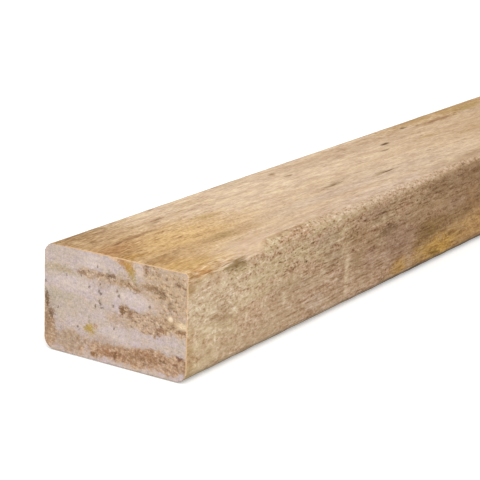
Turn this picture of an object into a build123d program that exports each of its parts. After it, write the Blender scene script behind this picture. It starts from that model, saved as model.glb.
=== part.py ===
from build123d import *
import os

# A hardwood joist: one length of planed stock that lies on its wide face, with its length along Y.
# The near, sealed end is at -Y. The origin is the middle of the underside.

# Driving dimensions, in millimetres
width = 70.0  # across the wide faces, along X
height = 45.0  # from the underside to the top face, along Z
length = 1800.0  # from end to end, along Y
arris_radius = 5.0  # round along three of the long edges
tight_arris_radius = 2.5  # smaller round along the upper edge at +X
end_ease = 0.5  # flat that sanding takes off the sharp edge round each sawn end


def joist_section():
    """The planed section, seen from the near end: a rectangle with a round on each corner."""
    blank = Rectangle(width, height, align=(Align.CENTER, Align.MIN))
    left_corners, right_corners = blank.vertices().group_by(Axis.X)
    lower_right, upper_right = right_corners.sort_by(Axis.Y)
    rounded = fillet([*left_corners, lower_right], arris_radius)
    last_corner = rounded.vertices().sort_by_distance(upper_right)[0]
    return fillet(last_corner, tight_arris_radius)


def joist_stock():
    """The section run to length, with the edges of both saw cuts eased."""
    stock = extrude(Plane.XZ * joist_section(), amount=length / 2, both=True)
    near_end, far_end = stock.faces().filter_by(Axis.Y).sort_by(Axis.Y)
    return chamfer([*near_end.edges(), *far_end.edges()], end_ease)


os.makedirs("parts", exist_ok=True)
joist = joist_stock()
joist.label = "joist"
export_step(joist, "parts/joist.step")
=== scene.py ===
import math
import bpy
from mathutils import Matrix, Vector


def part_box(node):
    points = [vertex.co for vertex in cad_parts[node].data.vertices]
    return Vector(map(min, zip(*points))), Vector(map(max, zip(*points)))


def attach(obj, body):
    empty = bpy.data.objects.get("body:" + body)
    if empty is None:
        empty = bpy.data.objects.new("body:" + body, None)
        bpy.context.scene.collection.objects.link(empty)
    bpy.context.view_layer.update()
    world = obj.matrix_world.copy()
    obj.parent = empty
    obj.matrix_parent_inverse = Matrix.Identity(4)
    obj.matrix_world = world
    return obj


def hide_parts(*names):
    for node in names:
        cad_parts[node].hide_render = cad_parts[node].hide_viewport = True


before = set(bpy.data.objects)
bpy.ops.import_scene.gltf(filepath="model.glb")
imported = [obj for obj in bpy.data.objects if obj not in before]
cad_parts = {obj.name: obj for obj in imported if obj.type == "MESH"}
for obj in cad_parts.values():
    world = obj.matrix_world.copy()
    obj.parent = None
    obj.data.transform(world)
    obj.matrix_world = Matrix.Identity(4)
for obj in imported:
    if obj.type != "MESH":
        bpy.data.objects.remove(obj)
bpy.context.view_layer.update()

from types import SimpleNamespace

import bmesh
import bpy
from mathutils import Matrix, Vector, noise

# A hardwood joist with a wax seal on its sawn ends. Lengths are in millimetres until a mesh is finished,
# and places are counted from the foot of the near end: x to the right, y along the length, z up
MM = 0.001
JOIST_LOW, JOIST_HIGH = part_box("joist")
WIDTH = (JOIST_HIGH.x - JOIST_LOW.x) / MM
LENGTH = (JOIST_HIGH.y - JOIST_LOW.y) / MM
HEIGHT = (JOIST_HIGH.z - JOIST_LOW.z) / MM
NEAR_END_Y = JOIST_LOW.y / MM

# Rounds and eased edges
ARRIS_RADIUS = 5.0
TIGHT_ARRIS_AT_END = 1.6  # the upper right arris is sharp at the saw cut
TIGHT_ARRIS_ALONG = 4.6  # and is worn rounder along the length
TIGHT_ARRIS_RUN = 60.0
END_EASE = 0.5

# The net of the mesh
CELL = 1.25  # side of a cell on the section
RINGS = 418
FIRST_RING = 1.3  # spacing of the rings at the near end, which grows towards the far end
END_CUTS = 2  # finer cuts in the cells of the near end

# The sheet that the finishes are baked on, in its pixels. The near stretch has as much of it as all the rest
SHEET = 1024.0
SHEET_GAP = 6.0
SHEET_NEAR_RINGS = 215
SHEET_ENDS = ((560.0, 190.0), (400.0, 190.0))  # the near end and the far one

# The camera, which stands as the photograph's did
PHOTO_SIZE = 480
FOCAL_PIXELS = 1739.0
CAMERA_PLACE = (387.2, -515.6, 239.9)
CAMERA_YAW = 32.610
CAMERA_PITCH = 16.169
CAMERA_ROLL = -1.994

# Patches where the end's seal has worn: middle (x, z), reach (x, z), turn in degrees, and how far (1 is bare)
WORN = [
    ("olive start of the upper band", (-27.0, 34.7), (11.0, 1.6), 0.0, 0.55),
    ("upper band", (-8.0, 35.6), (11.5, 2.4), -2.0, 0.8),
    ("upper band's fall to the right", (8.0, 34.6), (7.5, 2.6), -6.0, 0.8),
    ("worn upper right", (29.0, 33.5), (16.5, 16.0), 0.0, 0.66),
    ("worn top by the stain", (18.5, 42.5), (7.5, 5.5), 0.0, 0.7),
    ("head of the scar", (4.6, 23.9), (3.4, 2.8), 0.0, 1.0),
    ("scar", (10.5, 22.4), (6.5, 3.4), -10.0, 0.95),
    ("tail of the scar", (19.5, 21.4), (14.0, 4.8), 2.0, 0.95),
    ("under the tail", (18.5, 17.8), (6.5, 2.2), 0.0, 0.85),
    ("right edge", (33.0, 22.0), (5.5, 4.6), 0.0, 0.9),
    ("left wedge", (-34.0, 13.5), (4.0, 15.0), 27.0, 1.0),
    ("upper point of the left wedge", (-34.0, 19.0), (2.6, 6.0), 8.0, 0.95),
    ("left foot", (-32.0, 5.5), (7.0, 5.5), 0.0, 0.85),
    ("lower left", (-20.5, 5.8), (14.0, 5.8), 0.0, 0.66),
    ("start of the foot band", (-8.0, 5.0), (5.0, 4.6), 0.0, 0.8),
    ("foot band", (3.0, 5.6), (14.0, 4.0), 2.0, 0.95),
    ("foot band's rise", (17.5, 7.2), (13.0, 4.6), 4.0, 0.95),
    ("under the rise", (12.0, 4.0), (9.0, 2.8), 0.0, 0.9),
    ("foot of the lower right", (25.0, 4.0), (6.0, 2.6), 0.0, 0.75),
    ("lower right", (30.0, 7.0), (8.5, 5.0), 0.0, 0.95),
]

# Marks on the near end: colour, middle (x, z), reach (x, z), strength
END_MARKS = [
    ("sandy cloud of the left", "#c0ae99", (-24.0, 20.5), (17.0, 6.0), 0.6),
    ("sandy cloud of the upper left", "#c3b1a4", (-24.0, 41.5), (14.0, 4.0), 0.6),
    ("halo of the upper band", "#b89f87", (-4.0, 35.2), (15.0, 2.6), 0.6),
    ("halo of the band's fall", "#b89d80", (14.0, 35.0), (10.0, 4.0), 0.6),
    ("tan of the upper right", "#c2a580", (27.0, 36.5), (14.5, 12.5), 0.6),
    ("tan of the scar", "#c2a58c", (15.0, 21.0), (11.0, 4.6), 0.5),
    ("tan below the chip", "#b6966f", (28.0, 22.5), (6.5, 4.6), 0.6),
    ("halo under the scar's head", "#b89d82", (6.5, 19.0), (6.0, 3.2), 0.6),
    ("halo under the band", "#b69e8a", (-5.5, 32.0), (4.0, 2.6), 0.5),
    ("halo by the middle", "#b99b7c", (0.2, 20.0), (4.2, 3.2), 0.65),
    ("tan of the band's middle", "#b4946f", (3.5, 35.8), (5.5, 3.6), 0.45),
    ("pale wax of the middle", "#d9c8c2", (9.5, 29.5), (12.5, 2.8), 0.55),
    ("halo above the foot band", "#b29579", (-5.0, 9.6), (8.0, 2.4), 0.55),
    ("pale wax by the top edge", "#dac9c0", (-10.5, 40.5), (6.0, 3.2), 0.6),
    ("pale wax of the left", "#d8c8c2", (-20.0, 30.2), (12.0, 3.4), 0.45),
    ("pale wax below the middle", "#d6c7c2", (1.5, 13.6), (8.0, 3.2), 0.4),
    ("grey wax by the left edge", "#b0a08c", (-31.0, 21.5), (4.5, 5.5), 0.5),
    ("grey wax over the lower left", "#b9a596", (-26.0, 12.0), (5.0, 3.0), 0.4),
    ("sage brush mark", "#b3a68e", (-27.0, 24.2), (11.0, 2.6), 0.5),
    ("sage of the upper band", "#b5a586", (-28.0, 34.8), (12.0, 2.4), 0.6),
    ("peach lead-in by the top edge", "#dab48c", (0.6, 44.2), (2.6, 1.2), 0.85),
    ("red start of the amber stain", "#b37f52", (3.8, 43.6), (2.2, 1.6), 0.9),
    ("amber stain under the top edge", "#b88a45", (6.7, 42.4), (3.5, 2.6), 0.95),
    ("foot of the amber stain", "#b08f4a", (8.3, 39.8), (2.0, 2.8), 0.9),
    ("olive drip of the amber stain", "#b3a06a", (9.6, 37.4), (1.2, 1.6), 0.7),
    ("pale strip by the amber stain", "#d8c0ae", (12.3, 41.5), (1.8, 3.0), 0.6),
    ("brown streak by the top edge", "#8c6a49", (15.4, 42.6), (1.2, 2.6), 0.8),
    ("dark crumb of the upper right", "#86664a", (30.6, 39.6), (2.0, 1.4), 0.7),
    ("brown of the band's fall", "#94714d", (4.6, 34.6), (2.6, 1.4), 0.7),
    ("brown under the band's fall", "#8d6a48", (10.6, 33.4), (2.4, 1.2), 0.7),
    ("brown below the upper right", "#8f7052", (27.2, 30.2), (1.8, 1.8), 0.6),
    ("amber spot", "#b3954a", (-11.7, 13.1), (3.2, 2.6), 0.95),
    ("brown wing of the spot", "#a98163", (-8.7, 15.0), (1.2, 1.0), 0.7),
    ("dark start of the band", "#866548", (-15.6, 35.6), (2.4, 1.4), 0.75),
    ("red knot in the band", "#9c755c", (-7.2, 35.7), (2.4, 1.4), 0.5),
    ("dark knot in the band", "#80624a", (-1.4, 36.7), (2.4, 1.7), 0.9),
    ("end of the band", "#8b6a4a", (19.0, 35.7), (5.6, 1.7), 0.8),
    ("dark spot past the band", "#836548", (23.0, 33.8), (1.8, 2.2), 0.7),
    ("dark head of the scar", "#7e5b3a", (3.9, 23.8), (1.6, 2.6), 0.85),
    ("dark neck of the scar", "#876243", (7.7, 23.2), (1.5, 2.6), 0.75),
    ("dark tail of the scar", "#855c3a", (22.3, 19.4), (3.0, 1.6), 0.7),
    ("dark end of the tail", "#8a643f", (32.6, 20.8), (2.6, 1.6), 0.75),
    ("brown of the left wedge", "#93765a", (-33.0, 13.5), (3.4, 8.5), 0.65),
    ("sandy lower left", "#ab967d", (-23.0, 5.8), (9.5, 5.6), 0.55),
    ("dark left edge", "#6f5136", (-33.3, 21.0), (1.1, 4.4), 0.85),
    ("dark left foot", "#775537", (-31.0, 15.6), (1.8, 2.6), 0.75),
    ("pit at the foot", "#7d572f", (-9.6, 2.6), (1.7, 1.5), 0.85),
    ("dark foot band", "#966440", (-2.0, 5.0), (7.5, 1.8), 0.6),
    ("brown of the foot band's middle", "#9b714e", (9.5, 6.0), (6.0, 3.0), 0.4),
    ("upright scratch", "#75522f", (0.9, 4.2), (0.9, 1.9), 0.8),
    ("brown rise", "#90623a", (17.0, 7.6), (6.5, 2.4), 0.5),
    ("dark dot on the right", "#7a4f36", (31.6, 10.0), (2.0, 1.1), 0.85),
    ("dark dot below it", "#7f5b41", (29.6, 7.0), (1.6, 1.2), 0.75),
    ("dark dot on the rise", "#7d5c3c", (23.4, 6.8), (2.0, 1.2), 0.7),
    ("small pale chip", "#f2dab8", (27.0, 25.2), (1.3, 1.3), 1.0),
    ("long pale chip", "#f0d6b0", (32.6, 23.4), (3.0, 1.8), 1.0),
]

# Open pores of the near end that the wax did not close (x, z)
END_PORES = [
    (-6.6, 32.5), (-12.0, 30.5), (-7.2, 29.6), (-6.5, 28.5), (-7.0, 25.4), (-6.4, 24.3), (-5.8, 22.9),
    (-9.0, 22.9), (2.5, 29.6), (1.6, 31.2), (-27.6, 19.1), (0.3, 15.8), (-8.0, 39.6), (-34.0, 28.4),
    (-17.6, 12.6), (17.2, 28.1), (-16.2, 34.2), (8.6, 18.2), (-23.2, 33.0), (-0.3, 24.9),
]

SLIVER_LEAN = -16.0  # degrees that the bare end's slivers fall to the right

# The grain leaves the joist's line by a few degrees: it swings to the right, and back further along
SWEEP_REACH = 12.0
SWEEP_RUN = 170.0

# Broad soft changes of colour on the long faces: colour, middle (x, y, z), reach (x, y, z), strength
BROAD_STAINS = [
    ("brown of the near top", "#bb9564", (-14, -5, 45), (42, 62, 14), 0.85),
    ("honey heart of the top", "#d6ad72", (4, 38, 45), (24, 62, 14), 0.9),
    ("tan of the far top", "#c2a079", (0, 420, 45), (60, 240, 12), 0.8),
    ("brown of the right side", "#8e673f", (35, 360, 16), (14, 345, 80), 1.0),
    ("warm middle of the right side", "#b9997d", (35, 105, 10), (5, 100, 20), 0.7),
    ("sage start of the right side", "#d7c0a0", (35, 14, 29), (5, 46, 15), 0.75),
    ("duller foot of the near side", "#c0a483", (35, 45, 8), (5, 55, 9), 0.7),
    ("deep honey of the corner", "#c09257", (22, 6, 45), (10, 26, 10), 0.7),
    ("pale heart of the honey", "#e2bd86", (1, 46, 45), (7, 26, 8), 0.4),
    ("tan strip right of the honey", "#b99263", (15.5, 48, 45), (6.5, 62, 10), 0.7),
    ("tan strip of the middle", "#c4a890", (15.5, 150, 45), (6.5, 98, 10), 0.65),
    ("tan of the top's middle", "#c6a98c", (7, 172, 45), (6, 58, 10), 0.5),
    ("tan of the left top", "#bf9f7f", (-21, 212, 45), (10, 90, 10), 0.7),
    # The pale right arris is the top's pale colour with a painted highlight along the arris
    ("pale right arris with a painted highlight", "#d8ba9c", (33.0, 205, 43.8), (2.8, 190, 2.4), 0.55),
    ("pink of the right top", "#d6bba6", (29, 155, 45), (8, 85, 10), 0.5),
    ("grey tan of the far right top", "#c6aa8e", (18, 215, 45), (10, 70, 10), 0.55),
    ("tan by the left arris", "#c4a88a", (-28, 128, 45), (5, 24, 8), 0.6),
    ("olive brown of the far side", "#7f5d28", (35, 207, 19), (6, 24, 9), 0.68),
]

# Stains on the long faces: colour, middle (x, y, z), reach (x, y, z), strength
STAINS = [
    ("honey by the right arris", "#c99f5e", (29, 10, 45), (11, 30, 6), 0.85),
    ("red-brown end of the top", "#b27f50", (-6, 4, 45), (8, 26, 9), 0.68),
    ("brown streak on the top", "#94683f", (-10.6, 27, 45), (2.0, 22, 6), 0.75),
    ("brown left arris", "#9c7547", (-29, 14, 44), (8, 28, 9), 0.66),
    ("gold at the saw cut", "#b0823a", (5, 4, 45), (4.8, 9, 6), 0.75),
    ("brown gold at the saw cut", "#a97e45", (16, 7, 45), (5.5, 13, 6), 0.75),
    ("brown at the saw cut", "#ae8250", (1, 11, 45), (5, 13, 6), 0.55),
    ("olive patch beside the honey", "#a08350", (15.5, 53, 45), (3.8, 11, 6), 0.7),
    ("grey streak on the top", "#8e6d49", (-17, 50, 45), (1.4, 6, 5), 0.35),
    ("olive patch on the top", "#b9965c", (-6.5, 72, 45), (4.2, 12, 6), 0.65),
    ("streak by the left arris", "#ae885b", (-24, 86, 45), (3.0, 14, 6), 0.45),
    ("gold strip on the left arris", "#b38c52", (-29, 335, 44), (8.5, 105, 9), 0.85),
    ("olive of the far gold strip", "#a5823f", (-23, 354, 45), (5, 26, 6), 0.65),
    ("pale gap in the gold strip", "#d6b48c", (-27.5, 322, 44.5), (3.5, 9, 6), 0.7),
    ("brown streak by the gold strip", "#93652f", (-20.5, 314, 45), (3.0, 30, 6), 0.75),
    ("olive smear on the top", "#ae8850", (-5.5, 275, 45), (2.4, 14, 6), 0.5),
    ("soft brown spot of the top", "#98734a", (-16.5, 154, 45), (1.7, 4.5, 6), 0.85),
    ("soft brown spot by the left arris", "#9a774d", (-23, 152, 45), (1.7, 4.5, 6), 0.8),
    ("olive rim of the middle check", "#987a48", (8, 153, 45), (2.0, 12, 5), 0.6),
    ("olive rim of the long check", "#a08254", (14.3, 192, 45), (1.6, 13, 5), 0.5),
    ("brown smear on the top", "#b48a5a", (3, 312, 45), (4.0, 26, 6), 0.4),
    ("pink patch by the right arris", "#d2b193", (30, 48, 44), (6, 18, 5), 0.6),
    ("dark stain on the right arris", "#8a6b3a", (34.5, 35, 40.6), (5, 9, 2.8), 0.8),
    ("orange split on the right arris", "#b57a3c", (34.5, 10, 43.0), (4, 9, 1.8), 0.65),
    ("mauve of the side's middle", "#9a785f", (35, 170, 20), (6, 28, 14), 0.75),
    ("olive dark of the right side", "#82622f", (35, 197, 17), (6, 14, 9), 0.65),
    ("olive band of the right side", "#866635", (35, 235, 20), (6, 22, 4), 0.5),
    ("brown patch by the saw mark", "#94704f", (35, 116, 13.5), (6, 4.5, 5.0), 0.55),
    ("brown bar before the saw mark", "#9c7d61", (35, 111, 26.5), (6, 9, 8.0), 0.5),
    ("olive bar past the saw mark", "#8d6e45", (35, 131, 18.5), (6, 6.5, 5.5), 0.65),
    ("brown foot past the saw mark", "#a3815f", (35, 140, 12), (6, 16, 5), 0.45),
    ("mauve past the olive bar", "#a78470", (35, 144, 18), (6, 8, 8), 0.5),
    ("orange patch of the right side", "#a87f57", (35, 135.5, 30), (6, 4, 3.2), 0.5),
    ("dark head of the olive", "#8c6b48", (35, 204, 37), (6, 20, 5.5), 0.65),
    ("olive foot of the far side", "#866234", (35, 189, 13), (6, 8, 4.5), 0.75),
    ("mauve of the far side", "#a88a6e", (35, 227, 26), (6, 14, 5), 0.6),
    ("brown start under the right arris", "#a2846a", (35, 103, 35), (6, 13, 6), 0.5),
    ("pale patch under the right arris", "#d4bd98", (35, 54, 37.5), (6, 9, 3.6), 0.5),
    ("brown under the right arris", "#997a5e", (35, 148, 37.5), (6, 19, 5), 0.65),
    ("dull patch of the near side", "#ac8d69", (35, 24, 22), (6, 9, 7.5), 0.75),
    ("dull patch past it", "#a98b6b", (35, 66, 22.5), (6, 9, 4.5), 0.4),
    ("pale wool by the knot dot", "#d3bb97", (35, 69, 32), (6, 9, 4), 0.4),
    ("dull patch before the saw mark", "#a3866a", (35, 84, 20), (6, 9, 4), 0.4),
    ("pale foot before the saw mark", "#c9b19a", (35, 97, 9), (6, 9, 5.5), 0.6),
    ("brown gold of the far foot", "#b28d5e", (35, 227, 14), (6, 9, 5), 0.6),
    ("brown smudge of the right side", "#8c6b45", (35, 77, 28.6), (4, 3.0, 1.2), 0.6),
    ("dark streak of the right side", "#6f5036", (35, 240, 36), (6, 50, 5), 0.25),
    ("dark patch of the right side", "#745633", (35, 160, 27), (5, 11, 3.4), 0.7),
    ("brown of the side's middle", "#97714e", (35, 136, 27), (5, 18, 13), 0.45),
    ("first gold of the foot", "#b98f4c", (35, 172, 6), (6, 11, 6), 0.85),
    ("gold of the foot", "#bf9346", (35, 212, 7), (6, 32, 8), 0.9),
    ("last gold of the foot", "#bd935a", (35, 252, 10), (6, 28, 9), 0.8),
    ("olive flecks in the gold", "#83611f", (35, 206, 5.5), (6, 9, 3.4), 0.85),
    ("brown flecks in the gold", "#8f6832", (35, 224, 11), (6, 7, 2.2), 0.65),
    ("brown brink under the far arris", "#8b6c4e", (35, 232, 41), (4, 40, 2.4), 0.6),
    ("dark nick under the gold", "#4f3a1e", (34, 190, 2.4), (6, 8, 2.0), 0.85),
    ("gold strip at the saw cut", "#b18c57", (35, 2, 14), (4, 4.5, 18), 0.45),
    ("gold brink at the saw cut", "#a37e48", (35, 1.8, 38.5), (4, 3.6, 5.0), 0.7),
    ("knot dot of the right side", "#5f432b", (35, 87, 29.5), (4, 1.9, 1.2), 0.9),
]

# Pale upright saw marks on the right side: middle (y, z), reach (y, z), strength
SAW_MARKS = [
    ("mark by the saw cut", (5.5, 17.0), (1.3, 6.0), 0.5),
    ("bright mark", (19.6, 16.0), (1.1, 6.5), 0.85),
    ("faint mark", (42.0, 18.5), (1.2, 4.2), 0.65),
    ("short mark", (53.5, 19.0), (1.1, 3.2), 0.6),
    ("wide mark", (71.0, 17.0), (3.0, 2.6), 0.3),
    ("long mark", (122.6, 15.0), (2.5, 14.0), 0.5),
]

# Short drying checks, open along the grain: middle (x, y) on the top, length, width, share of full depth
CHECKS = [
    ("check by the middle", (8.0, 154.0), 16.0, 2.0, 0.7),
    ("long check", (14.3, 194.0), 16.0, 1.7, 0.85),
    ("deep check", (-14.4, 244.5), 11.0, 3.2, 1.0),
    ("check by the left arris", (-24.8, 283.5), 9.0, 2.4, 0.8),
    ("check in the grey streak", (-17.2, 50.5), 5.0, 0.8, 0.4),
    ("check by the right arris", (33.4, 236.5), 5.0, 1.8, 0.8),
    ("faint check", (-7.4, 231.5), 12.0, 2.0, 0.6),
    ("far check", (9.2, 246.5), 8.0, 1.8, 0.5),
]

# Relief over the plain stock. A swell has its depth, and the size of a lump across and along the grain
FACE_SWELL = (0.10, 26, 110)
FIBRE_SWELL = (0.06, 3.0, 70)
TORN_SWELL = (0.10, 3.2, 6)
ARRIS_SWELL = (0.22, 7, 9)
FACE_SINK = 0.16  # sinks the long faces by the height of their swells, to stay inside the solid
ARRIS_SINK = 0.15
CHECK_DEPTH = 0.5
SEAL_SWELL = (0.05, 6, 6)
SEAL_FRAY = (0.4, 1.6, 2)
SEAL_DEPTH = 0.22  # bare wood lies this far below the seal
PORE_DEPTH = 0.2
PORE_WALL = (0.1, 0.6)  # distances from a pore's middle


def linear(hex_colour):
    """An sRGB hex colour as linear red, green, blue and alpha."""
    parts = [int(hex_colour[i : i + 2], 16) / 255 for i in (1, 3, 5)]
    return (*[c / 12.92 if c <= 0.04045 else ((c + 0.055) / 1.055) ** 2.4 for c in parts], 1.0)


def add(tree, kind, inputs=None, **settings):
    """Adds a node, sets its options, and fills each input with a value, a socket or a node's first output."""
    node = tree.nodes.new(kind)
    for option, value in settings.items():
        setattr(node, option, value)
    for socket, value in (inputs or {}).items():
        if isinstance(value, bpy.types.Node):
            value = value.outputs[0]
        if isinstance(value, bpy.types.NodeSocket):
            tree.links.new(value, node.inputs[socket])
        else:
            node.inputs[socket].default_value = value
    return node


def placed(name, data):
    """A new object with that data, linked into the scene."""
    thing = bpy.data.objects.new(name, data)
    bpy.context.scene.collection.objects.link(thing)
    return thing


def made_object(name, bm):
    """A new object with that bmesh as its mesh."""
    mesh = bpy.data.meshes.new(name)
    bm.to_mesh(mesh)
    bm.free()
    return placed(name, mesh)


def empty_tree(owner):
    """The nodes of a material or a world, cleared."""
    owner.use_nodes = True
    owner.node_tree.nodes.clear()
    return owner.node_tree


def smooth_step(low, high, value):
    t = min(max((value - low) / (high - low), 0.0), 1.0)
    return t * t * (3 - 2 * t)


# The shape


def arris_radius(side_x, side_z, along):
    """Round of the long edge on that side, at that distance from the near end."""
    if side_x > 0 and side_z > 0:
        worn = smooth_step(0, TIGHT_ARRIS_RUN, along)
        return TIGHT_ARRIS_AT_END + (TIGHT_ARRIS_ALONG - TIGHT_ARRIS_AT_END) * worn
    return ARRIS_RADIUS


def round_arrises(bm):
    """Pulls the section's square corners on to their rounds."""
    for v in bm.verts:
        side_x = 1 if v.co.x > 0 else -1
        side_z = 1 if v.co.z > HEIGHT / 2 else -1
        radius = arris_radius(side_x, side_z, v.co.y)
        centre_x = WIDTH / 2 - radius
        centre_z = HEIGHT / 2 - radius
        out_x = abs(v.co.x) - centre_x
        out_z = abs(v.co.z - HEIGHT / 2) - centre_z
        if out_x > 0 and out_z > 0:
            pull = max(out_x, out_z) / math.hypot(out_x, out_z)
            v.co.x = side_x * (centre_x + out_x * pull)
            v.co.z = HEIGHT / 2 + side_z * (centre_z + out_z * pull)


def ring_place(t):
    """Distance from the near end of a ring that has that share of the rings before it."""
    even = FIRST_RING * (RINGS + 1) / LENGTH
    return LENGTH * (even * t + (1 - even) * t**3)


def crowd_rings(bm):
    """Draws the rings together towards the near end, where the joist is seen closest. A ring is counted by a
    whole number, because the cuts that made it leave rounding that differs from run to run."""
    for v in bm.verts:
        number = round(v.co.y / LENGTH * (RINGS + 1))
        v.co.y = ring_place(number / (RINGS + 1))


def joist_blank():
    """The planed and sawn stock: a net of cells over the section, run to length, rounded and eased."""
    bm = bmesh.new()
    bmesh.ops.create_grid(bm, x_segments=round(WIDTH / CELL), y_segments=round(HEIGHT / CELL), size=0.5)
    bmesh.ops.scale(bm, vec=(WIDTH, HEIGHT, 1), verts=bm.verts)
    bmesh.ops.rotate(bm, cent=(0, 0, 0), matrix=Matrix.Rotation(math.pi / 2, 3, "X"), verts=bm.verts)
    bmesh.ops.translate(bm, vec=(0, 0, HEIGHT / 2), verts=bm.verts)
    drawn = bmesh.ops.extrude_face_region(bm, geom=bm.faces[:])["geom"]
    far_verts = [g for g in drawn if isinstance(g, bmesh.types.BMVert)]
    bmesh.ops.translate(bm, vec=(0, LENGTH, 0), verts=far_verts)
    long_edges = [e for e in bm.edges if abs(e.verts[0].co.y - e.verts[1].co.y) > LENGTH / 2]
    bmesh.ops.subdivide_edges(bm, edges=long_edges, cuts=RINGS)
    crowd_rings(bm)
    round_arrises(bm)
    bmesh.ops.recalc_face_normals(bm, faces=bm.faces)
    sawn = [e for e in bm.edges if e.is_manifold and e.calc_face_angle() > 1.0]
    bmesh.ops.bevel(bm, geom=sawn, offset=END_EASE, segments=2, profile=0.5, affect="EDGES", material=-1)
    bm.normal_update()
    near_faces = [f for f in bm.faces if f.normal.y < -0.99]
    near_edges = list(dict.fromkeys(e for f in near_faces for e in f.edges))  # each once, in a fixed order
    bmesh.ops.subdivide_edges(bm, edges=near_edges, cuts=END_CUTS, use_grid_fill=True)
    bm.normal_update()
    return bm


def swell(place, depth, across, along):
    """Smooth ups and downs of that depth in lumps of those sizes."""
    return depth * noise.noise(Vector((place.x / across, place.y / along, place.z / across)))


def check_cut(place):
    """Depth of the drying checks at a place on the top."""
    cut = 0.0
    for _, (x, y), length, width, share in CHECKS:
        off = math.hypot((place.x - x) / (width / 2), (place.y - y) / (length / 2))
        cut = max(cut, share * (1 - smooth_step(0.0, 1.4, off)))
    return cut * CHECK_DEPTH


def wear_at(x, z):
    """How far the end's seal has worn at a place: 1 is bare wood."""
    deepest = 0.0
    for _, (mid_x, mid_z), (reach_x, reach_z), turn, depth in WORN:
        c = math.cos(math.radians(turn))
        s = math.sin(math.radians(turn))
        across = (c * (x - mid_x) + s * (z - mid_z)) / reach_x
        up = (-s * (x - mid_x) + c * (z - mid_z)) / reach_z
        deepest = max(deepest, depth * (1 - smooth_step(0.35, 1.25, math.hypot(across, up))))
    return deepest


def long_face_relief(place, normal):
    """Height of planed and rough long grain over the plain stock."""
    rough = smooth_step(0.3, 0.8, abs(normal.x))
    arris = smooth_step(0.15, 0.6, min(abs(normal.x), abs(normal.z)))
    height = swell(place, *FACE_SWELL) + swell(place, *FIBRE_SWELL)
    height += rough * swell(place, *TORN_SWELL) + arris * swell(place, *ARRIS_SWELL)
    height -= FACE_SINK + arris * ARRIS_SINK
    if normal.z > 0.7:
        height -= check_cut(place)
    return height


def end_relief(place):
    """Height of the sealed saw cut over the plain end: the seal is a film, and bare wood lies lower."""
    height = swell(place, *SEAL_SWELL)
    height -= SEAL_DEPTH * smooth_step(0.25, 0.85, wear_at(place.x, place.z) + swell(place, *SEAL_FRAY))
    for x, z in END_PORES:
        height -= PORE_DEPTH * (1 - smooth_step(*PORE_WALL, math.hypot(place.x - x, place.z - z)))
    return height


def work_surface(bm):
    """Gives the blank the relief of real timber."""
    moves = []
    for v in bm.verts:
        if v.normal.y < -0.9:
            moves.append(Vector((0, -end_relief(v.co), 0)))
        else:
            moves.append(v.normal * min(long_face_relief(v.co, v.normal), 0.0))
    for v, move in zip(bm.verts, moves):
        v.co += move


def lay_on_sheet(bm):
    """Lays the long faces and both ends flat on the bake sheet, the long ones cut in two and stacked."""
    layer = bm.loops.layers.uv.new("OFBake")
    cut = ring_place(SHEET_NEAR_RINGS / (RINGS + 1))
    widths = [WIDTH, HEIGHT] * 4  # top, right, foot and left of the near stretch, then of the far one
    scale = (SHEET - 10 * SHEET_GAP - SHEET_ENDS[0][1]) / sum(widths)
    rows = [SHEET_GAP * (i + 1) + scale * sum(widths[:i]) for i in range(9)]
    for face in bm.faces:
        far = int(face.calc_center_median().y > cut)
        upright = abs(face.normal.z) >= abs(face.normal.x)
        side = 2 * ((face.normal.z if upright else face.normal.x) < 0) + (not upright)
        first, last = (cut, LENGTH) if far else (0.0, cut)
        for loop in face.loops:
            x, y, z = loop.vert.co
            if abs(face.normal.y) > 0.7:
                long, high = SHEET_ENDS[far]
                u = SHEET_GAP + far * (SHEET_ENDS[0][0] + SHEET_GAP) + (x / WIDTH + 0.5) * long
                v = rows[8] + z / HEIGHT * high
            else:
                u = SHEET_GAP + (y - first) / (last - first) * (SHEET - 2 * SHEET_GAP)
                v = rows[4 * far + side] + scale * (x + WIDTH / 2 if upright else z)
            loop[layer].uv = (u / SHEET, v / SHEET)


def joist_piece():
    bm = joist_blank()
    lay_on_sheet(bm)
    for face in bm.faces:
        face.smooth = True
        face.material_index = 1 if abs(face.normal.y) > 0.95 else 0
    work_surface(bm)
    bmesh.ops.translate(bm, vec=(0, NEAR_END_Y, 0), verts=bm.verts)
    bmesh.ops.scale(bm, vec=(MM, MM, MM), verts=bm.verts)
    return made_object("hardwood_joist", bm)


# The finishes
FACTOR, VALUE_A, VALUE_B = 0, 2, 3  # sockets of a Mix node set to values
COLOUR_A, COLOUR_B, MIXED = 6, 7, 2  # and of one set to colours

# Patterns that follow the grain: size of a lump across, along and up, and octaves. Real fibres and pores are
# tenths of a millimetre wide, too fine to show in the render, so they are drawn two to four times coarser
GRAIN_PATTERNS = {
    "fibres": (0.55, 4, 0.55, 2),
    "pores": (0.9, 9, 0.9, 2),
    "slashes": (1.1, 20, 1.1, 2),
    "streaks": (2.2, 15, 2.2, 3),
    "stripes": (5, 420, 5, 2),
    "layers": (9, 200, 9, 2),
    "weather": (38, 330, 30, 3),
}

# Patterns of the torn sides, which stand in the joist's own line
TORN_PATTERNS = {
    "wool": (0.8, 1.5, 0.75, 2),
    "tufts": (2.2, 4.5, 2.0, 2),
    "tints": (6, 20, 5, 3),
    "pits": (1.0, 1.8, 0.9, 1),
    "flecks": (0.9, 2.0, 0.8, 1),
    "scratches": (3.2, 7.0, 4.0, 1),
}

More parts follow.
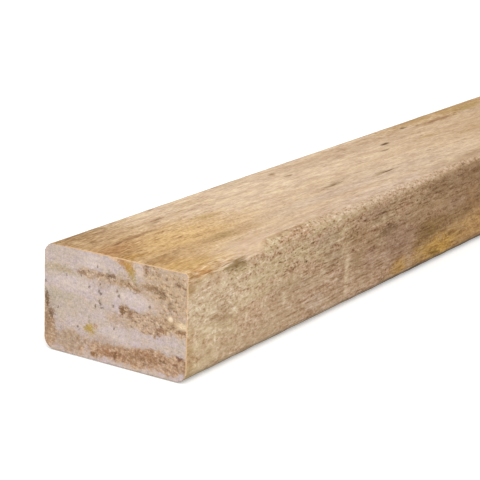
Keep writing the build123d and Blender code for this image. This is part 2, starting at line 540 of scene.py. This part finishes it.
# Patterns of the sawn end under its wax, and of the slivers that lean on it. Real sawdust is finer
END_PATTERNS = {
    "grit": (0.7, 0.7, 0.6, 2),
    "crumbs": (1.8, 1.8, 1.4, 3),
    "patches": (6, 6, 3.5, 3),
    "brushing": (12, 12, 1.6, 3),
    "pits": (0.9, 0.9, 0.9, 1),
    "bands": (26, 26, 8, 3),
}
LEANING_PATTERNS = {
    "slivers": (2.2, 2.2, 1.2, 3),
    "splinters": (2.0, 2.0, 1.3, 2),
}

# How places are pushed about, so that grain wanders and edges fray: size of a lump, and how far
GRAIN_WANDER = ((40, 220, 40), (6, 0, 6))
STAIN_FRAY = ((4, 13, 4), (5, 16, 5))
WEAR_DRIFT = ((5, 5, 3.5), (7, 0, 4))
WEAR_FRAY = ((1.6, 1.6, 1.3), (2.4, 0, 2.0))
MARK_FRAY = ((1.6, 1.6, 1.3), (2.2, 0, 1.8))

# Stretches of the long faces, each from where it begins to where it is in full
TORN_OUT = (WIDTH / 2 - 2.2, WIDTH / 2 - 1.2)  # the torn sides, by the distance out from the middle
OVER_ARRIS_Y, OVER_ARRIS_Z = (64, 42), (41.2, 42.4)  # where the planed top runs over the right arris
RIGHT_EDGE_X = (20, 30)
UPPER_EDGE_Z = (39, 42)
# Where the painted shadow runs along the seam of the planed top and the torn side
SEAM_SHADOW_HALF_WIDTH = 1.6
SEAM_SHADOW_START_Y, SEAM_SHADOW_END_Y = (45, 65), (125, 85)
PAST_PHOTO_Y = (330, 620)  # the length that the photograph does not show
FAR_SIDE_Y = (250, 340)
BROWN_LINES_Y, BROWN_LINES_X = (130, 40), (22, 2)
FAR_LINES_Y, FAR_LINES_Z = (40, 95), (43, 38)
PITS_START_Y, PITS_END_Y, PITS_Z = (-40, 50), (420, 60), (26, 46)
SCRATCHES_Y = (190, 60)
FLECKS_Y = (-60, 90)
CRISP_FIBRES_Y = (85, 20)
THREADS_Y = (25, 85)
# Painted shade along the lower arris of the foot, darker on the far stretch
FOOT_SHADE_Z = (5.2, 2.8)
FAR_FOOT_SHADE_Z, FAR_FOOT_SHADE_Y = (4.6, 2.8), (130, 180)
# Painted shade along the left arris, which turns away from the light
LEFT_ARRIS_SHADE_X, LEFT_ARRIS_SHADE_Z = (-30.4, -32.8), (38, 42)
# The pale brink of the saw cut is fresh wood with a painted highlight on the eased edge
BRINK_AND_HIGHLIGHT_X, BRINK_AND_HIGHLIGHT_Y, BRINK_AND_HIGHLIGHT_Z = (-34, -12), (1.2, 0.85), (-1, 9)  # the pale brink of the saw cut

# Patches of the long faces with a texture of their own: middle and reach
MOTTLED_HONEY = ((6, 45, HEIGHT), (26, 62, 20))
STILL_ARRIS = ((31, 46, HEIGHT), (8, 26, 7))
CALM_CORNER = ((WIDTH / 2, 12, 37), (8, 17, 5))

# How far a mark on a face reaches into the wood
END_MARK_DEPTH = 8
WORN_DEPTH = 30
SAW_MARK_DEPTH = 8
CHECK_COLOUR_DEPTH = 4


def finish(name):
    """A new material, its nodes, and the place on the joist in millimetres."""
    mat = bpy.data.materials.new(name)
    tree = empty_tree(mat)
    coords = add(tree, "ShaderNodeTexCoord").outputs["Object"]
    from_foot = {0: coords, 1: (1 / MM,) * 3, 2: (0, -NEAR_END_Y, 0)}
    return mat, tree, add(tree, "ShaderNodeVectorMath", from_foot, operation="MULTIPLY_ADD")


def patterns(tree, place, sizes):
    """The patterns of a table by their names, each with lumps of its own size in millimetres."""
    made = {}
    for name, (across, along, up, octaves) in sizes.items():
        size = (1 / across, 1 / along, 1 / up)
        scaled = add(tree, "ShaderNodeVectorMath", {0: place, 1: size}, operation="MULTIPLY")
        made[name] = add(tree, "ShaderNodeTexNoise", {"Vector": scaled, "Scale": 1.0, "Detail": octaves})
    return made


def frayed(tree, place, size, push):
    """The place, pushed about in lumps of that size: edges measured from it come out ragged."""
    lumps = patterns(tree, place, {"lumps": (*size, 3)})["lumps"]
    offset = {0: lumps.outputs["Color"], 1: push, 2: [-p / 2 for p in push]}
    offset = add(tree, "ShaderNodeVectorMath", offset, operation="MULTIPLY_ADD")
    return add(tree, "ShaderNodeVectorMath", {0: place, 1: offset}, operation="ADD")


def distance(tree, place, middle, reach, turn=0.0):
    """Distance from a patch's middle: 1 at its reach."""
    if turn:
        about = {"Vector": place, "Center": middle, "Angle": math.radians(turn)}
        place = add(tree, "ShaderNodeVectorRotate", about, rotation_type="Y_AXIS")
    offset = {0: place, 1: [1 / r for r in reach], 2: [-m / r for m, r in zip(middle, reach)]}
    offset = add(tree, "ShaderNodeVectorMath", offset, operation="MULTIPLY_ADD")
    return add(tree, "ShaderNodeVectorMath", {0: offset}, operation="LENGTH").outputs["Value"]


def total(tree, *shares):
    """Adds up fields, each with its weight."""
    result = 0.0
    for field, weight in shares:
        result = add(tree, "ShaderNodeMath", {0: field, 1: weight, 2: result}, operation="MULTIPLY_ADD")
    return result


def where(tree, *limits, most=1.0):
    """A mask: the most where every field has gone from its start to its end, 0 where one has not begun."""
    mask = most
    for field, start, end in limits:
        ramp = {"Value": field, "From Min": start, "From Max": end, "To Max": mask}
        mask = add(tree, "ShaderNodeMapRange", ramp, interpolation_type="SMOOTHSTEP", clamp=False)
    return mask


def tinted(tree, under, pigment, share, *limits):
    """The colour under a pigment, laid on up to that share where every field is within its limits."""
    mask = where(tree, *limits, most=share)
    mixed = {FACTOR: mask, COLOUR_A: under, COLOUR_B: linear(pigment)}
    return add(tree, "ShaderNodeMix", mixed, data_type="RGBA").outputs[MIXED]


def shaded(tree, colour, shade):
    """The colour made lighter or darker by a field. Timber reddens as it darkens: blue falls the fastest."""
    red = add(tree, "ShaderNodeMath", {0: shade, 1: 0.74}, operation="POWER")
    blue = add(tree, "ShaderNodeMath", {0: shade, 1: 1.36}, operation="POWER")
    warm = add(tree, "ShaderNodeCombineXYZ", {"X": red, "Y": shade, "Z": blue})
    return add(tree, "ShaderNodeVectorMath", {0: colour, 1: warm}, operation="MULTIPLY")


def matt(tree, colour, roughness, height, depth):
    """The shader of a matt surface with that colour, and a height field of that depth in millimetres."""
    bump = add(tree, "ShaderNodeBump", {"Height": height, "Strength": 0.6, "Distance": depth * MM})
    surface = {"Base Color": colour, "Roughness": roughness, "Specular IOR Level": 0.25, "Normal": bump}
    shader = add(tree, "ShaderNodeBsdfPrincipled", surface)
    add(tree, "ShaderNodeOutputMaterial", {"Surface": shader})


# The long faces


def along_grain(tree, place, y):
    """The place in the line of the grain, which swings and wanders along the length."""
    swing = add(tree, "ShaderNodeMath", {0: total(tree, (y, 1 / SWEEP_RUN))}, operation="COSINE")
    shift = add(tree, "ShaderNodeVectorMath", {0: (SWEEP_REACH, 0, 0), "Scale": swing}, operation="SCALE")
    wander = frayed(tree, place, *GRAIN_WANDER)
    return add(tree, "ShaderNodeVectorMath", {0: wander, 1: shift}, operation="ADD")


def timber_fields(tree, place):
    """What the hardwood is drawn from: the place, its patterns, and where the torn sides are."""
    x, y, z = add(tree, "ShaderNodeSeparateXYZ", {0: place}).outputs
    wood = SimpleNamespace(place=place, x=x, y=y, z=z)
    vars(wood).update(patterns(tree, along_grain(tree, place, y), GRAIN_PATTERNS))
    vars(wood).update(patterns(tree, place, TORN_PATTERNS))
    out = add(tree, "ShaderNodeMath", {0: x}, operation="ABSOLUTE")
    brow = total(tree, (z, 1.0), (wood.tufts, 2.0))
    over = where(tree, (y, *OVER_ARRIS_Y), (x, *RIGHT_EDGE_X), (brow, *OVER_ARRIS_Z))
    wood.border = total(tree, (out, 1.0), (wood.tufts, 3.0), (over, -5.0))
    wood.sides = where(tree, (wood.border, *TORN_OUT))
    wood.hairlines = where(tree, (wood.pores, 0.58, 0.72), (wood.tints, 0.40, 0.56))
    wood.pale = where(tree, (wood.flecks, 0.60, 0.74), (y, *FLECKS_Y))
    wood.fray = total(tree, (wood.pores, 0.8), (wood.fibres, 0.8), (1.0, -0.8))
    return wood


def face_colours(tree, wood):
    """Colours of the planed wide faces and the torn narrow ones."""
    planed = tinted(tree, linear("#dcbfa4"), "#e0c49e", 1.0, (wood.streaks, 0.38, 0.62))
    planed = tinted(tree, planed, "#c9a883", 0.6, (wood.layers, 0.42, 0.68))
    torn = tinted(tree, linear("#d2bb94"), "#c9a888", 1.0, (wood.tints, 0.36, 0.64))
    faces = {FACTOR: wood.sides, COLOUR_A: planed, COLOUR_B: torn}
    return add(tree, "ShaderNodeMix", faces, data_type="RGBA").outputs[MIXED]


def weathered(tree, wood, colour):
    """Weather on the stretches that the stains do not reach: the far length, the left and the foot."""
    turned_away = where(tree, (total(tree, (wood.x, 1 / WIDTH), (wood.z, 1 / HEIGHT)), 0.42, 0.22))
    far = where(tree, (wood.y, *PAST_PHOTO_Y))
    unseen = add(tree, "ShaderNodeMath", {0: far, 1: turned_away}, operation="MAXIMUM")
    colour = tinted(tree, colour, "#9b744c", 0.8, (unseen, 0, 1), (wood.weather, 0.46, 0.62))
    colour = tinted(tree, colour, "#cfa566", 0.6, (unseen, 0, 1), (wood.weather, 0.42, 0.30))
    return tinted(tree, colour, "#a27b52", 0.55, (unseen, 0, 1), (wood.stripes, 0.52, 0.66))


def stained(tree, wood, colour):
    """The yard's stains, broad ones first, with sandy streaks on the far sides."""
    soft = total(tree, (wood.tints, 0.5), (1.0, -0.25))
    for _, pigment, middle, reach, share in BROAD_STAINS:
        off = total(tree, (distance(tree, wood.place, middle, reach), 1.0), (soft, 1.0))
        colour = tinted(tree, colour, pigment, share, (off, 1.1, 0.1))
    far_side = (wood.sides, 0.3, 0.9), (wood.y, *FAR_SIDE_Y)
    colour = tinted(tree, colour, "#bf9f78", 0.65, *far_side, (wood.layers, 0.53, 0.40))
    colour = tinted(tree, colour, "#b08b5c", 0.6, *far_side, (wood.weather, 0.50, 0.36))
    pushed = frayed(tree, wood.place, *STAIN_FRAY)
    for _, pigment, middle, reach, share in STAINS:
        off = total(tree, (distance(tree, pushed, middle, reach), 1.0), (wood.fray, 1.0))
        colour = tinted(tree, colour, pigment, share, (off, 1.15, 0.2))
    return colour


def scored(tree, wood, colour):
    """The pale saw marks of the right side and the brown drying checks of the top."""
    for _, (mid_y, mid_z), (reach_y, reach_z), share in SAW_MARKS:
        off = distance(tree, wood.place, (WIDTH / 2, mid_y, mid_z), (SAW_MARK_DEPTH, reach_y, reach_z))
        off = total(tree, (off, 1.0), (wood.wool, 1.2), (wood.tufts, 0.8), (1.0, -1.0))
        colour = tinted(tree, colour, "#e0caa8", share, (off, 1.2, 0.2))
    for _, (mid_x, mid_y), length, width, share in CHECKS:
        reach = (width / 2, length / 2, CHECK_COLOUR_DEPTH)
        off = distance(tree, wood.place, (mid_x, mid_y, HEIGHT), reach)
        off = total(tree, (off, 1.0), (wood.fray, 0.8))
        colour = tinted(tree, colour, "#60431d", share, (off, 1.2, 0.3))
    return colour


def planed_shade(tree, wood):
    """Light and dark of planed wood: fibres, crisp by the saw cut, with pores, fine brown lines and dots."""
    brown_lines = where(tree, (wood.pores, 0.53, 0.61), (wood.y, *BROWN_LINES_Y), (wood.x, *BROWN_LINES_X))
    dots = where(tree, (wood.pits, 0.58, 0.72))
    mottled = where(tree, (distance(tree, wood.place, *MOTTLED_HONEY), 1.2, 0.4), most=0.65)
    mottled = total(tree, (mottled, 1.0), (1.0, 0.22))
    shade = add(tree, "ShaderNodeMix", {FACTOR: mottled, VALUE_A: wood.fibres, VALUE_B: wood.wool})
    shade = total(tree, (shade, 1.3), (wood.pores, 0.6), (wood.streaks, 0.8), (1.0, -0.30))
    shade = total(tree, (shade, 1.0), (wood.hairlines, -0.38), (brown_lines, -0.36))
    shade = total(tree, (shade, 1.0), (wood.pale, 0.10), (dots, -0.10))
    crisp = where(tree, (wood.y, *CRISP_FIBRES_Y), most=0.8)
    shade = total(tree, (shade, 1.0), (wood.fibres, crisp), (crisp, -0.5))
    still = where(tree, (distance(tree, wood.place, *STILL_ARRIS), 1.2, 0.4), most=0.6)
    return add(tree, "ShaderNodeMix", {FACTOR: still, VALUE_A: shade, VALUE_B: 1.0})


def torn_shade(tree, wood):
    """Light and dark of torn wood: wool and tufts, threads and lines further along, pits and scratches."""
    far_lines = where(tree, (wood.slashes, 0.53, 0.63), (wood.y, *FAR_LINES_Y), (wood.z, *FAR_LINES_Z))
    pale_lines = where(tree, (wood.slashes, 0.46, 0.36), (wood.y, *FAR_LINES_Y), (wood.z, *FAR_LINES_Z))
    upper = total(tree, (wood.z, 1.0), (wood.tints, 24))
    pitted = where(tree, (wood.pits, 0.55, 0.70), (upper, *PITS_Z))
    pitted = where(tree, (wood.y, *PITS_START_Y), (wood.y, *PITS_END_Y), most=pitted)
    scratch = add(tree, "ShaderNodeMath", {0: wood.scratches, 1: 0.5, 2: 0.02}, operation="COMPARE")
    scratch = where(tree, (wood.tufts, 0.44, 0.58), (wood.y, *SCRATCHES_Y), most=scratch)
    calm = where(tree, (distance(tree, wood.place, *CALM_CORNER), 1.3, 0.5))
    woolly = total(tree, (where(tree, (wood.tints, 0.38, 0.60)), 1.0), (1.0, 0.7), (calm, -0.8))
    threads = total(tree, (where(tree, (wood.y, *THREADS_Y)), 0.6), (1.0, 0.4))
    shade = total(tree, (wood.wool, woolly), (woolly, -0.5), (1.0, 0.365))
    shade = total(tree, (shade, 1.0), (wood.fibres, threads), (threads, -0.5))
    shade = total(tree, (shade, 1.0), (wood.tufts, 0.85), (wood.streaks, 0.4), (wood.hairlines, -0.2))
    shade = total(tree, (shade, 1.0), (pitted, -0.45), (wood.pale, 0.22), (scratch, 0.30))
    return total(tree, (shade, 1.0), (far_lines, -0.28), (pale_lines, 0.22))


def timber_shade(tree, wood):
    """Light and dark of the long faces, with a painted shadow along the seam where the torn side undercuts
    the planed top.
    """
    faces = {FACTOR: wood.sides, VALUE_A: planed_shade(tree, wood), VALUE_B: torn_shade(tree, wood)}
    shade = add(tree, "ShaderNodeMix", faces)
    lip = TORN_OUT[0]
    seam_shadow = where(tree, (wood.border, lip - SEAM_SHADOW_HALF_WIDTH, lip), (wood.border, lip + SEAM_SHADOW_HALF_WIDTH, lip))
    seam_shadow = where(tree, (wood.y, *SEAM_SHADOW_START_Y), (wood.y, *SEAM_SHADOW_END_Y), (wood.z, *UPPER_EDGE_Z), most=seam_shadow)
    seam_shadow = where(tree, (wood.x, *RIGHT_EDGE_X), most=seam_shadow)
    # painted shadow along the seam, which darkens the colour and dents the bump
    shade = total(tree, (shade, 1.0), (seam_shadow, -0.32))
    return add(tree, "ShaderNodeMath", {0: shade, 1: 0.2}, operation="MAXIMUM")


def edge_shade_and_highlight(tree, wood, colour):
    """Painted shade along the foot and the left arris, and the pale brink of the saw cut with a painted
    highlight.
    """
    low = total(tree, (wood.z, 1.0), (wood.tufts, 1.5))
    # painted shade along the lower arris of the foot, darker further along
    colour = tinted(tree, colour, "#6f6042", 0.55, (low, *FOOT_SHADE_Z))
    colour = tinted(tree, colour, "#4d3b22", 0.7, (low, *FAR_FOOT_SHADE_Z), (wood.y, *FAR_FOOT_SHADE_Y))
    # painted shade along the left arris, which turns away from the light
    left = total(tree, (wood.x, 1.0), (wood.tufts, -1.5))
    colour = tinted(tree, colour, "#7d6848", 0.5, (left, *LEFT_ARRIS_SHADE_X), (wood.z, *LEFT_ARRIS_SHADE_Z))
    # pale brink of the saw cut: fresh wood with a painted highlight, laid on after the shading
    sawn = total(tree, (wood.y, 1.0), (wood.tufts, 1.2))
    return tinted(tree, colour, "#e6c198", 0.75, (sawn, *BRINK_AND_HIGHLIGHT_Y), (wood.x, *BRINK_AND_HIGHLIGHT_X), (wood.z, *BRINK_AND_HIGHLIGHT_Z))


def hardwood():
    """Planed hardwood, weathered and stained in the yard: dull fibres that wander along the length, open
    pores as short dark dashes, and torn, woolly grain on the narrow sides."""
    mat, tree, place = finish("weathered hardwood")
    wood = timber_fields(tree, place)
    colour = weathered(tree, wood, face_colours(tree, wood))
    colour = scored(tree, wood, stained(tree, wood, colour))
    shade = timber_shade(tree, wood)
    colour = edge_shade_and_highlight(tree, wood, shaded(tree, colour, shade))
    matt(tree, colour, 0.75, shade, 0.5)
    return mat


# The sawn ends


def end_fields(tree, place):
    """What the sealed end is drawn from: the place and its patterns, with the slivers on a slant."""
    _, y, z = add(tree, "ShaderNodeSeparateXYZ", {0: place}).outputs
    end = SimpleNamespace(place=place, y=y, z=z)
    lean = {"Vector": place, "Angle": math.radians(SLIVER_LEAN)}
    leaning = add(tree, "ShaderNodeVectorRotate", lean, rotation_type="Y_AXIS")
    vars(end).update(patterns(tree, place, END_PATTERNS))
    vars(end).update(patterns(tree, leaning, LEANING_PATTERNS))
    end.tone = total(tree, (end.splinters, 0.75), (end.grit, 0.25))
    end.ragged = total(tree, (end.splinters, 1.2), (end.grit, 1.2), (1.0, -1.2))
    return end


def bare_wood(tree, end):
    """Where the wax has gone, with ragged borders: patches of the near end, chance bands on the far one."""
    torn = frayed(tree, frayed(tree, end.place, *WEAR_DRIFT), *WEAR_FRAY)
    bare = where(tree, (end.bands, 0.50, 0.62), (end.y, LENGTH / 2, LENGTH), most=0.9)
    for _, (mid_x, mid_z), (reach_x, reach_z), turn, depth in WORN:
        off = distance(tree, torn, (mid_x, 0, mid_z), (reach_x, WORN_DEPTH, reach_z), turn)
        inside = where(tree, (off, 1.25, 0.45), most=depth)
        bare = add(tree, "ShaderNodeMath", {0: bare, 1: inside}, operation="MAXIMUM")
    bare = total(tree, (bare, 1.0), (end.slivers, 1.0), (end.crumbs, 0.7), (end.patches, 0.5))
    bare = total(tree, (bare, 1.0), (end.grit, 0.5), (1.0, -1.35))
    return where(tree, (bare, 0.22, 0.86))


def waxed_wood(tree, end, bare):
    """Sandy and brown end grain, browner towards the foot, under lilac wax with sage brush marks."""
    foot = tinted(tree, linear("#a98668"), "#c5a689", 1.0, (end.tone, 0.40, 0.64))
    head = tinted(tree, linear("#b19377"), "#cbb096", 1.0, (end.tone, 0.40, 0.64))
    heights = {FACTOR: where(tree, (end.z, 10, 18)), COLOUR_A: foot, COLOUR_B: head}
    wood = add(tree, "ShaderNodeMix", heights, data_type="RGBA").outputs[MIXED]
    wax = tinted(tree, linear("#cab8b5"), "#c6b2a3", 1.0, (end.patches, 0.40, 0.60))
    wax = tinted(tree, wax, "#bbad9b", 0.6, (end.brushing, 0.50, 0.68))
    wax = tinted(tree, wax, "#a3917f", 0.5, (end.crumbs, 0.42, 0.26))
    coat = {FACTOR: bare, COLOUR_A: wax, COLOUR_B: wood}
    return add(tree, "ShaderNodeMix", coat, data_type="RGBA").outputs[MIXED]


def marked_end(tree, end, bare, colour):
    """The end's stains and chips, then dark and pale slivers where it is bare, and its open pores."""
    pushed = frayed(tree, end.place, *MARK_FRAY)
    for _, pigment, (mid_x, mid_z), (reach_x, reach_z), share in END_MARKS:
        off = distance(tree, pushed, (mid_x, 0, mid_z), (reach_x, END_MARK_DEPTH, reach_z))
        off = total(tree, (off, 1.0), (end.ragged, 1.0))
        colour = tinted(tree, colour, pigment, share, (off, 1.3, 0.25))
    colour = tinted(tree, colour, "#7a5c42", 0.75, (bare, 0.2, 0.8), (end.tone, 0.47, 0.35), (end.z, -14, 30))
    colour = tinted(tree, colour, "#dcc6ab", 0.45, (bare, 0.2, 0.8), (end.tone, 0.55, 0.66), (end.z, -14, 30))
    for mid_x, mid_z in END_PORES:
        off = distance(tree, pushed, (mid_x, 0, mid_z), (0.65, END_MARK_DEPTH, 0.9))
        off = total(tree, (off, 1.0), (end.ragged, 1.0))
        colour = tinted(tree, colour, "#553b22", 0.65, (off, 1.2, 0.2))
    return colour


def sealed_end():
    """Sawn end grain under a thin brushed coat of lilac-grey wax, worn through in bands to sandy and brown
    wood, with slivers that lean down to the right."""
    mat, tree, place = finish("wax-sealed end grain")
    end = end_fields(tree, place)
    bare = bare_wood(tree, end)
    colour = marked_end(tree, end, bare, waxed_wood(tree, end, bare))
    shade = total(tree, (end.grit, 0.75), (end.crumbs, 0.65), (end.patches, 0.30), (1.0, 0.16))
    shade = total(tree, (shade, 1.0), (where(tree, (end.pits, 0.62, 0.74)), -0.14))
    colour = add(tree, "ShaderNodeVectorMath", {0: colour, "Scale": shade}, operation="SCALE")
    matt(tree, colour, 0.7, total(tree, (shade, 1.0), (bare, -0.6)), 0.25)
    return mat


# The studio. Its lengths are in metres
SKY_LEVEL = 0.62
SOFTBOX_SIDE = 3.0
SOFTBOX_PLACE = (1.2, -1.8, 2.6)  # from the foot of the near end
SOFTBOX_WATTS = 75.0
PAPER_SIDE = 14.0
PAPER_GLOW = 0.35
PAPER_FADE = (1.2, 3.5)  # distances from the middle: the paper brightens, and is plain white


def camera():
    yaw, pitch, roll = (math.radians(a) for a in (CAMERA_YAW, CAMERA_PITCH, CAMERA_ROLL))
    forward = Vector((-math.sin(yaw) * math.cos(pitch), math.cos(yaw) * math.cos(pitch), -math.sin(pitch)))
    right = Vector((math.cos(yaw), math.sin(yaw), 0))
    down = forward.cross(right)
    rolled_right = math.cos(roll) * right + math.sin(roll) * down
    rolled_down = -math.sin(roll) * right + math.cos(roll) * down
    data = bpy.data.cameras.new("camera")
    data.sensor_width = 36.0
    data.lens = data.sensor_width * FOCAL_PIXELS / PHOTO_SIZE
    data.clip_start = 0.01
    data.clip_end = 100.0
    eye = placed("camera", data)
    turn = Matrix((rolled_right, -rolled_down, -forward)).transposed()
    place = (Vector(CAMERA_PLACE) + Vector((0, NEAR_END_Y, 0))) * MM
    eye.matrix_world = Matrix.Translation(place) @ turn.to_4x4()
    bpy.context.scene.camera = eye


def seen_directly(tree):
    """1 for rays that come straight from the camera, a reflection or a clear material."""
    path = add(tree, "ShaderNodeLightPath").outputs
    seen = path["Is Camera Ray"]
    for other in ("Is Glossy Ray", "Is Transmission Ray"):
        seen = add(tree, "ShaderNodeMath", {0: seen, 1: path[other]}, operation="MAXIMUM")
    return seen


def sky():
    world = bpy.data.worlds.new("studio")
    tree = empty_tree(world)
    level = {"Value": seen_directly(tree), "To Min": SKY_LEVEL, "To Max": 1.0}
    level = add(tree, "ShaderNodeMapRange", level)
    light = add(tree, "ShaderNodeBackground", {"Color": (1, 1, 1, 1), "Strength": level})
    add(tree, "ShaderNodeOutputWorld", {"Surface": light})
    bpy.context.scene.world = world


def white_paper():
    """Matt white paper, which takes a soft shadow and goes to plain white far from the joist."""
    mat = bpy.data.materials.new("white paper")
    tree = empty_tree(mat)
    coords = add(tree, "ShaderNodeTexCoord").outputs["Object"]
    away = add(tree, "ShaderNodeVectorMath", {0: coords}, operation="LENGTH").outputs["Value"]
    near, far = PAPER_FADE
    white = {"Value": away, "From Min": near, "From Max": far, "To Min": PAPER_GLOW, "To Max": 1.0}
    white = add(tree, "ShaderNodeMapRange", white, interpolation_type="SMOOTHSTEP")
    glow = add(tree, "ShaderNodeMath", {0: seen_directly(tree), 1: white}, operation="MULTIPLY")
    paper = {"Base Color": linear("#eeeeee"), "Roughness": 0.9, "Specular IOR Level": 0.0}
    paper |= {"Emission Color": (1, 1, 1, 1), "Emission Strength": glow}
    shader = add(tree, "ShaderNodeBsdfPrincipled", paper)
    add(tree, "ShaderNodeOutputMaterial", {"Surface": shader})
    return mat


def paper_floor():
    bm = bmesh.new()
    bmesh.ops.create_grid(bm, x_segments=1, y_segments=1, size=PAPER_SIDE / 2)
    floor = made_object("paper_floor", bm)
    floor.data.materials.append(white_paper())


def softbox():
    data = bpy.data.lights.new("softbox", "AREA")
    data.size = SOFTBOX_SIDE
    data.energy = SOFTBOX_WATTS
    lamp = placed("softbox", data)
    target = Vector((0, NEAR_END_Y * MM, 0))
    lamp.location = target + Vector(SOFTBOX_PLACE)
    lamp.rotation_euler = (target - lamp.location).to_track_quat("-Z", "Y").to_euler()


# The joist and its studio
joist = joist_piece()
joist.data.materials.append(hardwood())
joist.data.materials.append(sealed_end())
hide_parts("joist")
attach(joist, "root")
camera()
sky()
softbox()
paper_floor()
bpy.context.scene.view_settings.view_transform = "Standard"
